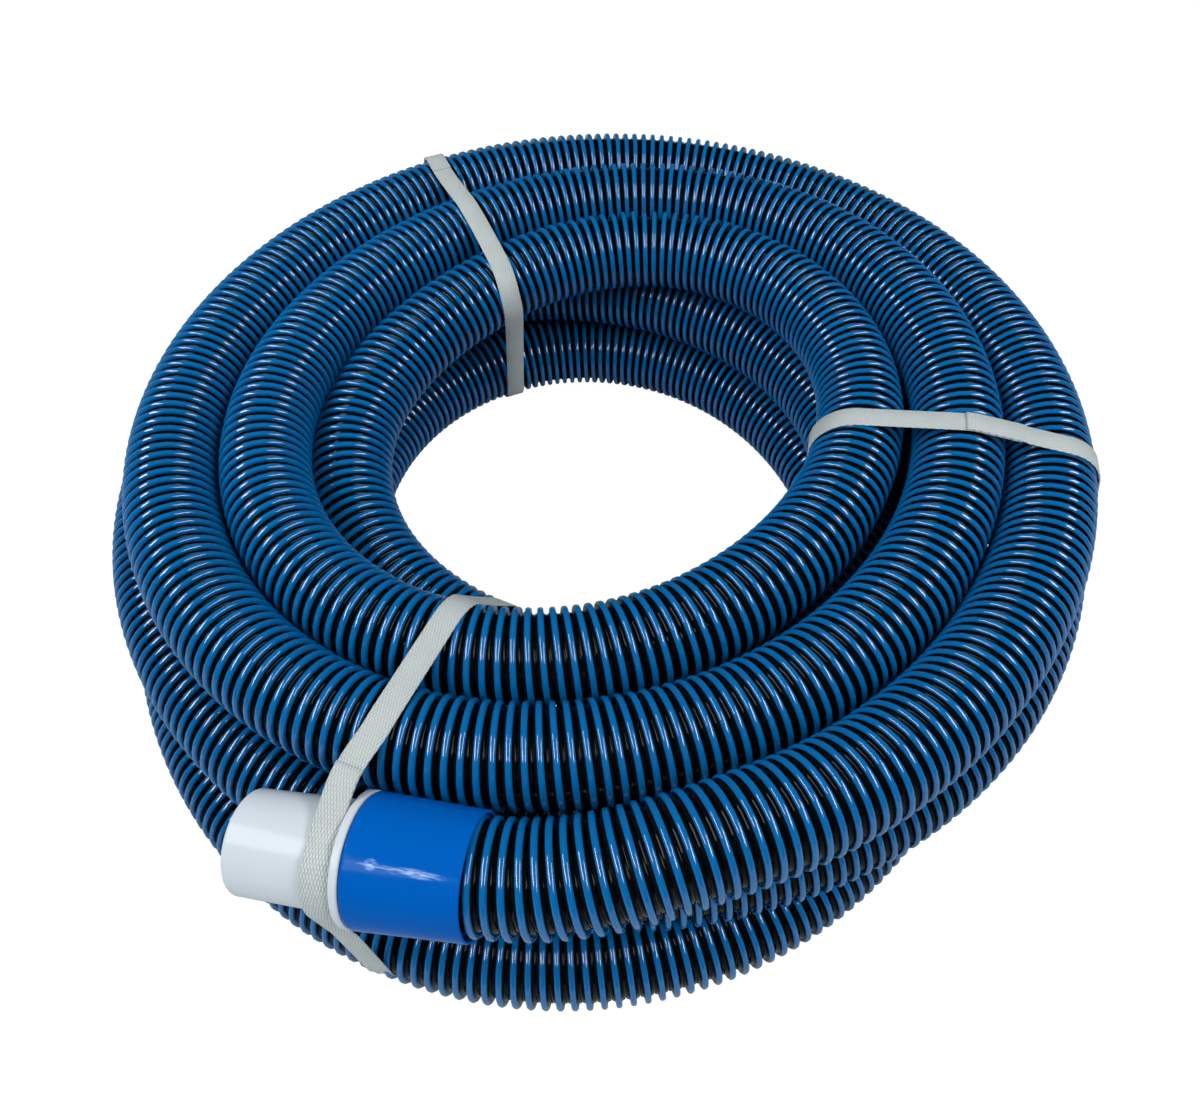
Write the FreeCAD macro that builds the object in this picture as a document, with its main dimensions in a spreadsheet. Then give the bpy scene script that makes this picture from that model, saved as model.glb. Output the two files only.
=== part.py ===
import FreeCAD, Part
import math
import os
import re

import Sketcher
from FreeCAD import Vector

# A coiled pool vacuum hose: ten metres of ribbed hose wound in three piled layers, a swivel cuff
# on its outer end, a fixed cuff on its inner end and three flat straps round the bundle.
# Millimetres. The origin is on the surface that the straps lie on, at the middle of the coil.
# Angles are in degrees along the winding, counter-clockwise seen from above, with 0 towards +X.

SIZES = {
    # Hose
    "hose_od": 46.0,
    "hose_wall": 4.0,
    "rib_pitch": 6.1,
    "rib_height": 2.7,
    "rib_crest": 2.7,
    "rib_flank": 0.4,
    "rib_count": 190,
    "rib_margin": 0.5,
    # Winding: how the layers are piled
    "layer_gap": 0.9,
    "coil_shift_x": -1.7,
    "coil_shift_y": 7.0,
    "node_angle": -45.0,
    "node_step": 90.0,
    "last_node_angle": 2700.0,
    # Top layer, which spirals in
    "top_inner_radius": 141.3,
    "top_turn_gap": 2.1,
    "top_end_angle": 780.0,
    "top_centre_x": -1.7,
    "top_centre_y": 5.0,
    "top_oval": 10.5,
    "top_oval_angle": 46.0,
    "top_oval_growth": -1.5,
    # Middle layer, which spirals out
    "middle_inner_radius": 148.2,
    "middle_turn_gap": 5.4,
    "middle_start_angle": 1018.0,
    "middle_end_angle": 1780.0,
    "middle_centre_x": -9.4,
    "middle_centre_y": 1.2,
    "middle_oval": 5.7,
    "middle_oval_angle": -18.0,
    "middle_oval_growth": 0.0,
    # Bottom layer, which spirals in again
    "bottom_inner_radius": 141.6,
    "bottom_turn_gap": 1.0,
    "bottom_start_angle": 1925.0,
    "bottom_end_angle": 2790.0,
    "bottom_centre_x": -9.5,
    "bottom_centre_y": -19.0,
    "bottom_oval": 9.2,
    "bottom_oval_angle": -84.0,
    "bottom_oval_growth": 0.0,
    # Unevenness of the first turns
    "dip_angle": 45.0,
    "dip_depth": 4.6,
    "hump_angle": 405.0,
    "hump_height": 6.0,
    "bump_reach": 90.0,
    # Outer end, in the swivel cuff
    "cuff_angle": -100.0,
    "cuff_heading": -10.0,
    "cuff_tilt": 6.5,
    "cuff_rise": 7.2,
    "cuff_rise_end_angle": 20.0,
    "cuff_offset_x": 6.8,
    "cuff_offset_y": -5.1,
    "cuff_offset_z": -4.1,
    # Swivel cuff
    "nozzle_wall": 3.3,
    "nozzle_mouth_wall": 2.3,
    "nozzle_length": 48.0,
    "mouth_rounding": 1.6,
    "socket_depth": 44.0,
    "stop_step": 1.0,
    "flange_thickness": 3.6,
    "flange_rounding": 0.8,
    "shank_inset": 1.5,
    "shank_length": 15.0,
    "swivel_clearance": 0.3,
    "sleeve_length": 46.5,
    "sleeve_wall": 3.7,
    "lip_wall": 1.9,
    "lip_relief": 0.8,
    "lip_relief_length": 6.0,
    "sleeve_rounding": 1.4,
    "lip_rounding": 0.6,
    "neck_length": 10.0,
    "seal_section": 1.9,
    "seal_offset": 4.0,
    "seal_clearance": 0.15,
    "ring_width": 1.6,
    "ring_height": 2.3,
    "groove_depth": 1.1,
    "ring_opening": 12.0,
    "ring_clearance": 0.1,
    "glue_gap": 0.1,
    "hose_end_gap": 1.0,
    # Inner end, in the fixed cuff
    "tail_angle": 2742.0,
    "tail_draw_in": 15.0,
    "tail_turn_in": 18.0,
    "tail_rise": 2.1,
    "fixed_collar_wall": 1.9,
    "fixed_nozzle_length": 40.0,
    "fixed_stop": 2.0,
    "fixed_grip": 38.0,
    "fixed_taper": 4.0,
    # Straps
    "strap_width": 12.0,
    "strap_thickness": 0.8,
    "strap_clearance": 0.3,
    "strap_lap": 38.0,
    "strap_ramp": 5.0,
    "strap_front_angle": 246.5,
    "strap_front_offset": 7.7,
    "strap_right_angle": -10.6,
    "strap_right_offset": -7.5,
    "strap_back_angle": 109.6,
    "strap_back_offset": 23.5,
}

doc = FreeCAD.newDocument("vacuum_hose")
sheet = doc.addObject("Spreadsheet::Sheet", "Sizes")
for row, (name, number) in enumerate(SIZES.items(), 1):
    sheet.set(f"A{row}", name)
    sheet.set(f"B{row}", str(number))
    sheet.setAlias(f"B{row}", name)
doc.recompute()


def size(name):
    return float(getattr(sheet, name))


X_AXIS = Vector(1, 0, 0)
Z_AXIS = Vector(0, 0, 1)
HOSE_R = size("hose_od") / 2
BORE_R = HOSE_R - size("hose_wall")
MOUTH_R = BORE_R + size("nozzle_mouth_wall")
NOZZLE_R = BORE_R + size("nozzle_wall")
SLEEVE_R = HOSE_R + size("glue_gap") + size("sleeve_wall")
LIP_R = HOSE_R + size("glue_gap") + size("lip_wall")
COLLAR_R = HOSE_R + size("glue_gap") + size("fixed_collar_wall")
STRAP_R = size("strap_clearance") + size("strap_thickness")


# Winding route

def flat_direction(angle):
    turn = math.radians(angle)
    return Vector(math.cos(turn), math.sin(turn), 0)


def ease(share):
    share = min(max(share, 0.0), 1.0)
    return share * share * (3 - 2 * share)


def spiral_point(layer, angle, turns_from_inner, level):
    """A point of one layer: an oval spiral about the layer's own centre."""
    radius = size(f"{layer}_inner_radius")
    radius += turns_from_inner * (size("hose_od") + size(f"{layer}_turn_gap"))
    lean = math.radians(angle - size(f"{layer}_oval_angle"))
    oval = size(f"{layer}_oval") + turns_from_inner * size(f"{layer}_oval_growth")
    radius += oval * math.cos(2 * lean)
    centre = Vector(size(f"{layer}_centre_x"), size(f"{layer}_centre_y"), 0)
    height = STRAP_R + HOSE_R + level * (size("hose_od") + size("layer_gap"))
    return centre + flat_direction(angle) * radius + Z_AXIS * height


def route_point(angle):
    """The hose's centre line: in on top, down, out in the middle, down, in at the bottom."""
    top = spiral_point("top", angle, (size("top_end_angle") - angle) / 360, 2)
    middle = spiral_point("middle", angle, (angle - size("middle_start_angle")) / 360, 1)
    bottom = spiral_point("bottom", angle, (size("bottom_end_angle") - angle) / 360, 0)
    first_dive = size("middle_start_angle") - size("top_end_angle")
    second_dive = size("bottom_start_angle") - size("middle_end_angle")
    to_middle = ease((angle - size("top_end_angle")) / first_dive)
    to_bottom = ease((angle - size("middle_end_angle")) / second_dive)
    point = top + (middle - top) * to_middle
    point += (bottom - point) * to_bottom
    rise_span = size("cuff_rise_end_angle") - size("cuff_angle")
    point.z += size("cuff_rise") * (1 - ease((angle - size("cuff_angle")) / rise_span))
    reach = size("bump_reach")
    point.z -= size("dip_depth") * ease(1 - abs(angle - size("dip_angle")) / reach)
    point.z += size("hump_height") * ease(1 - abs(angle - size("hump_angle")) / reach)
    return point + Vector(size("coil_shift_x"), size("coil_shift_y"), 0)


def route_direction(angle):
    step = 0.5
    return (route_point(angle + step) - route_point(angle - step)).normalize()


def arc_edge(start, direction, end):
    """The arc from start to end that leaves along direction, and its direction at the end."""
    chord = end - start
    half = chord.Length / 2
    chord.normalize()
    lean = math.acos(min(1.0, direction.dot(chord)))
    side = (direction - chord * direction.dot(chord)).normalize()
    middle = (start + end) * 0.5 + side * (half * math.tan(lean / 2))
    return Part.Arc(start, middle, end).toShape(), chord * (2 * direction.dot(chord)) - direction


def biarc_edges(start, start_direction, end, end_direction):
    """Two arcs that meet with one tangent and join two points with given directions."""
    across = end - start
    both = start_direction + end_direction
    spread = 2 * (1 - start_direction.dot(end_direction))
    lead = across.dot(both)
    reach = (math.sqrt(lead * lead + spread * across.dot(across)) - lead) / spread
    meet = (start + end + (start_direction - end_direction) * reach) * 0.5
    first, direction = arc_edge(start, start_direction, meet)
    second, _ = arc_edge(meet, direction, end)
    return [first, second]


# Outer end: the lip of the swivel cuff's sleeve, and the cuff's line
cuff_tilt = math.radians(size("cuff_tilt"))
cuff_direction = flat_direction(size("cuff_heading")) * math.cos(cuff_tilt) + Z_AXIS * math.sin(cuff_tilt)
cuff_lip = route_point(size("cuff_angle"))
cuff_lip += Vector(size("cuff_offset_x"), size("cuff_offset_y"), size("cuff_offset_z"))
sleeve_start = size("nozzle_length") + size("flange_thickness") + size("swivel_clearance")
cuff_length = sleeve_start + size("sleeve_length")
cuff_mouth = cuff_lip - cuff_direction * cuff_length
hose_inset = size("nozzle_length") + size("flange_thickness")
hose_inset += size("shank_length") + size("hose_end_gap")
hose_start = cuff_mouth + cuff_direction * hose_inset
straight = size("hose_od")

# Inner end: the hose turns in under the layers above and runs straight into the fixed cuff
tail_angle = size("tail_angle")
tail_bend_end = route_point(tail_angle)
tail_bend_end -= flat_direction(tail_angle) * size("tail_draw_in")
tail_bend_end.z += size("tail_rise")
tail_direction = flat_direction(tail_angle + 90 + size("tail_turn_in"))
hose_end = tail_bend_end + tail_direction * straight

route_nodes = [(hose_start + cuff_direction * straight, cuff_direction)]
angle = size("node_angle")
while angle < size("last_node_angle"):
    route_nodes.append((route_point(angle), route_direction(angle)))
    angle += size("node_step")
route_nodes.append((route_point(size("last_node_angle")), route_direction(size("last_node_angle"))))
route_nodes.append((tail_bend_end, tail_direction))

route_edges = [Part.LineSegment(hose_start, route_nodes[0][0]).toShape()]
for (start, leaving), (end, arriving) in zip(route_nodes, route_nodes[1:]):
    route_edges += biarc_edges(start, leaving, end, arriving)
route_edges.append(Part.LineSegment(tail_bend_end, hose_end).toShape())
route_length = sum(edge.Length for edge in route_edges)
arc_radii = [edge.Curve.Radius for edge in route_edges[1:-1]]


def route_at(distance):
    """Point and direction at a distance along the hose from its outer end."""
    for edge in route_edges:
        if distance <= edge.Length or edge is route_edges[-1]:
            parameter = edge.getParameterByLength(min(max(distance, 0.0), edge.Length))
            return edge.valueAt(parameter), edge.tangentAt(parameter)
        distance -= edge.Length


def route_wire(start, end):
    """The piece of the route from one distance along it to another."""
    pieces = []
    travelled = 0.0
    for edge in route_edges:
        low = max(start - travelled, 0.0)
        high = min(end - travelled, edge.Length)
        travelled += edge.Length
        if high - low > 1e-4:
            first = edge.getParameterByLength(low)
            last = edge.getParameterByLength(high)
            pieces.append(edge.Curve.toShape(first, last))
    return Part.Wire(pieces)


# Hose

def hose_circle(distance, radius):
    """A circle square to the route, its own X axis kept level-headed so that nothing twists."""
    point, direction = route_at(distance)
    up = (Z_AXIS - direction * Z_AXIS.dot(direction)).normalize()
    circle = Part.Circle(Vector(), Z_AXIS, radius).toShape()
    circle.Placement = FreeCAD.Placement(point, FreeCAD.Rotation(up, direction.cross(up), direction, "ZXY"))
    return Part.Wire(circle)


def smooth_tube(start, end, radius):
    """A solid round tube along the route."""
    pipe = Part.BRepOffsetAPI.MakePipeShell(route_wire(start, end))
    pipe.add(hose_circle(start, radius))
    pipe.build()
    pipe.makeSolid()
    return pipe.shape()


def ribbed_tube(start, count, pitch):
    """A run of round ribs: each goes up a flank, along its crest, down and along the web."""
    crest = size("rib_crest")
    flank = size("rib_flank")
    web_radius = HOSE_R - size("rib_height")
    circles = []
    for rib in range(count):
        place = start + rib * pitch + (pitch - crest) / 2 - flank
        circles.append(hose_circle(place, web_radius))
        circles.append(hose_circle(place + flank, HOSE_R))
        circles.append(hose_circle(place + flank + crest, HOSE_R))
        circles.append(hose_circle(place + 2 * flank + crest, web_radius))
    return Part.makeLoft(circles, True, True)


def bundle_gap():
    """Least gap of the hose to itself, from points along its centre line."""
    spacing = 4.0
    apart = 200.0
    count = int(route_length / spacing)
    points = [route_at(index * spacing)[0] for index in range(count)]
    cell = 60.0
    cells = {}
    for index, point in enumerate(points):
        key = (int(point.x // cell), int(point.y // cell), int(point.z // cell))
        cells.setdefault(key, []).append(index)
    least = route_length
    around = (-1, 0, 1)
    for (kx, ky, kz), members in cells.items():
        near = [j for dx in around for dy in around for dz in around
                for j in cells.get((kx + dx, ky + dy, kz + dz), ())]
        for i in members:
            for j in near:
                if (j - i) * spacing > apart:
                    least = min(least, points[i].distanceToPoint(points[j]))
    return least - size("hose_od")


rib_start = cuff_length - hose_inset + size("rib_margin")
rib_count = int(size("rib_count"))
rib_pitch = size("rib_pitch")
rib_gap = (rib_pitch - size("rib_crest")) / 2 - size("rib_flank")
rib_end = rib_start + rib_count * rib_pitch
ribs = ribbed_tube(rib_start, rib_count, rib_pitch)
outer_lead = smooth_tube(0.0, rib_start + rib_gap, HOSE_R)
outer_rest = smooth_tube(rib_end - rib_gap, route_length, HOSE_R)
bore = smooth_tube(0.0, route_length, BORE_R)
outer = outer_lead.fuse([ribs, outer_rest])
hose = doc.addObject("Part::Feature", "hose")
hose.Label = "hose"
hose.Shape = outer.cut(bore).Solids[0]
hose.Placement = FreeCAD.Placement()


# Turned plastic pieces of the two cuffs

def bound(formula):
    """A formula in size names as an expression on the sheet."""
    return re.sub(r"[a-z_]{2,}", r"Sizes.\g<0>", formula)


def along(start, direction):
    """Placement that lays a body's own X axis along a direction from a point."""
    return FreeCAD.Placement(start, FreeCAD.Rotation(X_AXIS, direction))


def turned_body(name, outline, angle_formula="360"):
    """A body turned about its X axis from a closed outline of (place, radius) formulas."""
    body = doc.addObject("PartDesign::Body", name)
    body.Label = name
    plane = next(f for f in body.Origin.OriginFeatures if f.Role == "XY_Plane")
    sketch = body.newObject("Sketcher::SketchObject", f"{name}_outline")
    sketch.AttachmentSupport = [(plane, "")]
    sketch.MapMode = "FlatFace"
    count = len(outline)
    corners = [Vector(HOSE_R, HOSE_R, 0) + flat_direction(90 - 360 * i / count) * size("rib_pitch")
               for i in range(count)]
    for i in range(count):
        sketch.addGeometry(Part.LineSegment(corners[i], corners[(i + 1) % count]))
    for i in range(count):
        sketch.addConstraint(Sketcher.Constraint("Coincident", i, 2, (i + 1) % count, 1))
    for i, (place, radius) in enumerate(outline):
        if place:
            distance = sketch.addConstraint(Sketcher.Constraint("DistanceX", -1, 1, i, 1, corners[i].x))
            sketch.setExpression(f"Constraints[{distance}]", bound(place))
        else:
            sketch.addConstraint(Sketcher.Constraint("PointOnObject", i, 1, -2))
        distance = sketch.addConstraint(Sketcher.Constraint("DistanceY", -1, 1, i, 1, corners[i].y))
        sketch.setExpression(f"Constraints[{distance}]", bound(radius))
    turned = body.newObject("PartDesign::Revolution", f"{name}_turned")
    turned.Profile = sketch
    turned.ReferenceAxis = (sketch, ["H_Axis"])
    turned.setExpression("Angle", bound(angle_formula))
    doc.recompute()
    return body


def round_edges(body, rims, rounding):
    """Round the circular edges of a turned body that lie at (place, radius) rims."""
    base = body.Tip
    picked = []
    for number, edge in enumerate(base.Shape.Edges, 1):
        if not isinstance(edge.Curve, Part.Circle):
            continue
        for place, radius in rims:
            if abs(edge.Curve.Center.x - place) < 0.001 and abs(edge.Curve.Radius - radius) < 0.001:
                picked.append(f"Edge{number}")
    fillet = body.newObject("PartDesign::Fillet", f"{body.Name}_{rounding}")
    fillet.Base = (base, picked)
    fillet.setExpression("Radius", bound(rounding))
    doc.recompute()


hose_radius = "hose_od / 2"
socket_radius = f"{hose_radius} - hose_wall"
stop_radius = f"{socket_radius} - stop_step"
nozzle_radius = f"{socket_radius} + nozzle_wall"
shank_radius = f"{hose_radius} - shank_inset"
grip_radius = f"{hose_radius} + glue_gap"
sleeve_radius = f"{grip_radius} + sleeve_wall"
collar_radius = f"{grip_radius} + fixed_collar_wall"
flange_end = "nozzle_length + flange_thickness"
neck_radius = f"{shank_radius} + swivel_clearance"
seal_start = f"{flange_end} + seal_offset"
seal_end = f"{seal_start} + seal_section + 2 * ring_clearance"
seal_bottom = f"{neck_radius} - seal_clearance - seal_section - ring_clearance"
ring_start = f"{flange_end} + 2 * swivel_clearance + neck_length"
ring_groove_start = f"{ring_start} - ring_clearance"
ring_groove_end = f"{ring_start} + ring_width + ring_clearance"
ring_bottom = f"{shank_radius} - groove_depth"
swivel_nozzle = turned_body("swivel_nozzle", [
    ("", socket_radius),
    ("", f"{socket_radius} + nozzle_mouth_wall"),
    ("nozzle_length", nozzle_radius),
    ("nozzle_length", sleeve_radius),
    (flange_end, sleeve_radius),
    (flange_end, shank_radius),
    (seal_start, shank_radius),
    (seal_start, seal_bottom),
    (seal_end, seal_bottom),
    (seal_end, shank_radius),
    (ring_groove_start, shank_radius),
    (ring_groove_start, ring_bottom),
    (ring_groove_end, ring_bottom),
    (ring_groove_end, shank_radius),
    (f"{flange_end} + shank_length", shank_radius),
    (f"{flange_end} + shank_length", stop_radius),
    ("socket_depth", stop_radius),
    ("socket_depth", socket_radius),
])
flange_start = size("nozzle_length")
round_edges(swivel_nozzle, [(0.0, MOUTH_R)], "mouth_rounding")
round_edges(swivel_nozzle, [(flange_start, SLEEVE_R), (flange_start + size("flange_thickness"), SLEEVE_R)],
            "flange_rounding")
swivel_nozzle.Placement = along(cuff_mouth, cuff_direction)

seal_ring = doc.addObject("Part::Torus", "seal_ring")
seal_ring.Label = "seal_ring"
seal_ring.setExpression("Radius1", bound(f"{neck_radius} - seal_clearance - seal_section / 2"))
seal_ring.setExpression("Radius2", bound("seal_section / 2"))
seal_place = size("nozzle_length") + size("flange_thickness") + size("seal_offset")
seal_place += size("ring_clearance") + size("seal_section") / 2
seal_ring.Placement = FreeCAD.Placement(cuff_mouth + cuff_direction * seal_place,
                                        FreeCAD.Rotation(Z_AXIS, cuff_direction))

ring_inner = f"{ring_bottom} + ring_clearance"
retaining_ring = turned_body("retaining_ring", [
    (ring_start, ring_inner),
    (ring_start, f"{ring_inner} + ring_height"),
    (f"{ring_start} + ring_width", f"{ring_inner} + ring_height"),
    (f"{ring_start} + ring_width", ring_inner),
], "360 - ring_opening")
retaining_ring.Placement = along(cuff_mouth, cuff_direction)

sleeve_begin = f"{flange_end} + swivel_clearance"
sleeve_end = f"{sleeve_begin} + sleeve_length"
swivel_sleeve = turned_body("swivel_sleeve", [
    (sleeve_begin, neck_radius),
    (sleeve_begin, sleeve_radius),
    (sleeve_end, f"{grip_radius} + lip_wall"),
    (sleeve_end, f"{grip_radius} + lip_relief"),
    (f"{sleeve_end} - lip_relief_length", grip_radius),
    (f"{sleeve_begin} + neck_length", grip_radius),
    (f"{sleeve_begin} + neck_length", neck_radius),
])
round_edges(swivel_sleeve, [(sleeve_start, SLEEVE_R)], "sleeve_rounding")
round_edges(swivel_sleeve, [(cuff_length, LIP_R)], "lip_rounding")
swivel_sleeve.Placement = along(cuff_mouth, cuff_direction)

fixed_stop_end = "fixed_nozzle_length + fixed_stop"
fixed_cuff = turned_body("fixed_cuff", [
    ("", socket_radius),
    ("", nozzle_radius),
    ("fixed_nozzle_length - fixed_taper", nozzle_radius),
    ("fixed_nozzle_length", collar_radius),
    (f"{fixed_stop_end} + fixed_grip", collar_radius),
    (f"{fixed_stop_end} + fixed_grip", grip_radius),
    (fixed_stop_end, grip_radius),
    (fixed_stop_end, stop_radius),
    ("fixed_nozzle_length", stop_radius),
    ("fixed_nozzle_length", socket_radius),
])
fixed_stop = size("fixed_nozzle_length") + size("fixed_stop")
fixed_length = fixed_stop + size("fixed_grip")
round_edges(fixed_cuff, [(0.0, NOZZLE_R), (fixed_length, COLLAR_R)], "flange_rounding")
fixed_mouth = hose_end + tail_direction * fixed_stop
fixed_cuff.Placement = along(fixed_mouth, tail_direction * -1)


# Straps

BUNDLE_CENTRE = Vector(size("top_centre_x") + size("coil_shift_x"),
                       size("top_centre_y") + size("coil_shift_y"), 0)
CUFF_RUNS = [
    (cuff_mouth, cuff_direction, size("nozzle_length"), NOZZLE_R),
    (cuff_mouth + cuff_direction * size("nozzle_length"), cuff_direction,
     cuff_length - size("nozzle_length"), SLEEVE_R),
    (fixed_mouth, tail_direction * -1, size("fixed_nozzle_length"), NOZZLE_R),
    (fixed_mouth - tail_direction * size("fixed_nozzle_length"), tail_direction * -1,
     size("fixed_stop") + size("fixed_grip"), COLLAR_R),
]


def strap_centre(angle, offset):
    """Where a strap's own upright plane passes the middle of the bundle."""
    return BUNDLE_CENTRE + flat_direction(angle + 90) * offset


def section_circles(angle, offset):
    """Circles (place, radius) that a strap at an angle must clear, in its own upright plane."""
    outward = flat_direction(angle)
    normal = flat_direction(angle + 90)
    centre = strap_centre(angle, offset)
    half_width = size("strap_width") / 2
    circles = []

    def add_circle(point, direction, radius):
        facing = abs(direction.dot(normal))
        slant = math.sqrt(1 - facing * facing) / facing
        spread = radius / facing - radius + half_width * slant
        climb = half_width * abs(direction.z) / facing
        for side in (-spread, spread):
            place = Vector((point - centre).dot(outward) + side, point.z, 0)
            circles.append((place, radius + climb + size("strap_clearance")))

    spacing = 5.0
    count = int(route_length / spacing)
    before, _ = route_at(0.0)
    for index in range(1, count + 1):
        after, direction = route_at(index * spacing)
        low = (before - centre).dot(normal)
        high = (after - centre).dot(normal)
        if low * high <= 0 and (after - centre).dot(outward) > 0:
            add_circle(before + (after - before) * (low / (low - high)), direction, HOSE_R)
        before = after
    for start, direction, length, radius in CUFF_RUNS:
        facing = abs(direction.dot(normal))
        reach = (half_width + radius * math.sqrt(1 - facing * facing)) / facing
        distance = -(start - centre).dot(normal) / direction.dot(normal)
        point = start + direction * distance
        if -reach < distance < length + reach and (point - centre).dot(outward) > 0:
            add_circle(point, direction, radius)
    return circles


def strap_outline(circles, growth):
    """Arcs and tangents round all circles, each as (centre, radius, first angle, last angle)."""
    order = []
    for degree in range(360):
        normal = flat_direction(degree)
        outermost = max(circles, key=lambda circle: circle[0].dot(normal) + circle[1])
        if not order or order[-1] is not outermost:
            order.append(outermost)
    if order[0] is order[-1]:
        order.pop()
    leaving = []
    for (centre, radius), (next_centre, next_radius) in zip(order, order[1:] + order[:1]):
        across = next_centre - centre
        heading = math.atan2(across.y, across.x)
        leaving.append(heading - math.acos((radius - next_radius) / across.Length))
    arcs = []
    for index, (centre, radius) in enumerate(order):
        first = leaving[index - 1]
        last = leaving[index]
        while last < first:
            last += 2 * math.pi
        arcs.append((centre, radius + growth, first, last))
    return arcs


def arc_point(arc, share):
    centre, radius, first, last = arc
    turn = first + (last - first) * share
    return centre + Vector(math.cos(turn), math.sin(turn), 0) * radius


def add_outline(sketch, arcs, lapped):
    """Draw the arcs and tangents; the longest upper tangent steps out where the ends lap."""
    tangents = [(arc_point(arc, 1), arc_point(after, 0)) for arc, after in zip(arcs, arcs[1:] + arcs[:1])]
    upper = [pair for pair in tangents if pair[1].x < pair[0].x and pair[0].y > BUNDLE_TOP]
    lap_pair = max(upper, key=lambda pair: pair[0].distanceToPoint(pair[1])) if lapped else None
    for arc, pair in zip(arcs, tangents):
        sketch.addGeometry(Part.Arc(arc_point(arc, 0), arc_point(arc, 0.5), arc_point(arc, 1)))
        start, end = pair
        if pair is not lap_pair:
            sketch.addGeometry(Part.LineSegment(start, end))
            continue
        run = (end - start).normalize()
        out = Vector(run.y, -run.x, 0) * size("strap_thickness")
        begin = start + run * ((start.distanceToPoint(end) - size("strap_lap")) / 2)
        finish = begin + run * size("strap_lap")
        corners = [start, begin, begin + run * size("strap_ramp") + out, finish + out, finish, end]
        for corner, following in zip(corners, corners[1:]):
            sketch.addGeometry(Part.LineSegment(corner, following))


BUNDLE_TOP = STRAP_R + 2 * (size("hose_od") + size("layer_gap")) + HOSE_R


def strap(name):
    """A flat band round the bundle, its own ends lapped and welded on top."""
    angle = size(f"{name}_angle")
    offset = size(f"{name}_offset")
    body = doc.addObject("PartDesign::Body", name)
    body.Label = name
    plane = next(f for f in body.Origin.OriginFeatures if f.Role == "XZ_Plane")
    sketch = body.newObject("Sketcher::SketchObject", f"{name}_outline")
    sketch.AttachmentSupport = [(plane, "")]
    sketch.MapMode = "FlatFace"
    circles = section_circles(angle, offset)
    add_outline(sketch, strap_outline(circles, 0.0), False)
    add_outline(sketch, strap_outline(circles, size("strap_thickness")), True)
    band = body.newObject("PartDesign::Pad", f"{name}_band")
    band.Profile = sketch
    band.SideType = "Symmetric"
    band.setExpression("Length", "Sizes.strap_width")
    body.Placement = FreeCAD.Placement(strap_centre(angle, offset), FreeCAD.Rotation(Z_AXIS, angle))
    return body


strap_front = strap("strap_front")
strap_right = strap("strap_right")
strap_back = strap("strap_back")
doc.recompute()

# Checks and files

PIECES = [hose, swivel_nozzle, seal_ring, retaining_ring, swivel_sleeve, fixed_cuff,
          strap_front, strap_right, strap_back]
for item in doc.Objects:
    if "Invalid" in item.State or "Error" in item.State:
        raise RuntimeError(f"{item.Name} failed: {item.State}")
for piece in PIECES:
    if piece.Shape.isNull() or not piece.Shape.isValid():
        raise RuntimeError(f"{piece.Label} has no valid shape")
os.makedirs("parts", exist_ok=True)
whole = FreeCAD.BoundBox()
for piece in PIECES:
    piece.Shape.exportStep(f"parts/{piece.Label}.step")
    whole.add(piece.Shape.BoundBox)
    print(f"{piece.Label}: {len(piece.Shape.Solids)} solid, {piece.Shape.Volume:.0f} mm3")
print(f"hose length {route_length:.0f} mm, {(tail_angle - size('cuff_angle')) / 360:.2f} turns")
print(f"least bend radius {min(arc_radii):.1f} mm")
print(f"least gap of the hose to itself {bundle_gap():.2f} mm")
print(f"size {whole.XLength:.1f} x {whole.YLength:.1f} x {whole.ZLength:.1f} mm")
print(f"from {whole.XMin:.1f}, {whole.YMin:.1f}, {whole.ZMin:.2f} to {whole.XMax:.1f}, {whole.YMax:.1f}")
print(f"cuff mouth {cuff_mouth}, direction {cuff_direction}")
print(f"fixed mouth {fixed_mouth}, direction {tail_direction}")
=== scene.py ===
# %% [markdown]
# # A coiled pool vacuum hose
# The real object is ten metres of ribbed plastic hose, wound in three piled layers and held by
# three flat straps. Its outer end has a white swivel nozzle in a blue sleeve. The solid model of
# the parts is loaded first and stays as it is, and this file dresses it: it builds what a solid
# model leaves plain, which is the winding rib, the woven straps and the finishes.

# %% Frame
import math

import bpy
import numpy as np
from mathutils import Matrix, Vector


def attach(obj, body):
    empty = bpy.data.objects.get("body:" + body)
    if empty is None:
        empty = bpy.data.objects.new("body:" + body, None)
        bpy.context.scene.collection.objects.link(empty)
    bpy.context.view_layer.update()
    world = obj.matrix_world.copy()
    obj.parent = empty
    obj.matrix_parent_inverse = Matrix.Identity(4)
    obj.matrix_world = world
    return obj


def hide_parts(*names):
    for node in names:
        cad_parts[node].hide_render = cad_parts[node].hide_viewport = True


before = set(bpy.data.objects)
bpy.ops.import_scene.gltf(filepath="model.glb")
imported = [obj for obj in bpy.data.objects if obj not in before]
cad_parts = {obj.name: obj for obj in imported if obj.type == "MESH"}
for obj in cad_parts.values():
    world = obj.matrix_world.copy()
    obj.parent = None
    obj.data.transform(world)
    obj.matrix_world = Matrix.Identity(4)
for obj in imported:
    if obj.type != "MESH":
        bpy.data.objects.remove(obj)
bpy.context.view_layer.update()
scene = bpy.context.scene
scene.view_settings.view_transform = "Standard"
print("nodes:", ", ".join(sorted(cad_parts)))

# %% [markdown]
# ## Camera
# The picture was taken from the side of the swivel cuff, looking down into the coil. A wide lens
# close to the coil makes its near side much larger than its far side, so the lens and the distance
# matter as much as the angle. Both were found by matching the edges of the turns.

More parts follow.
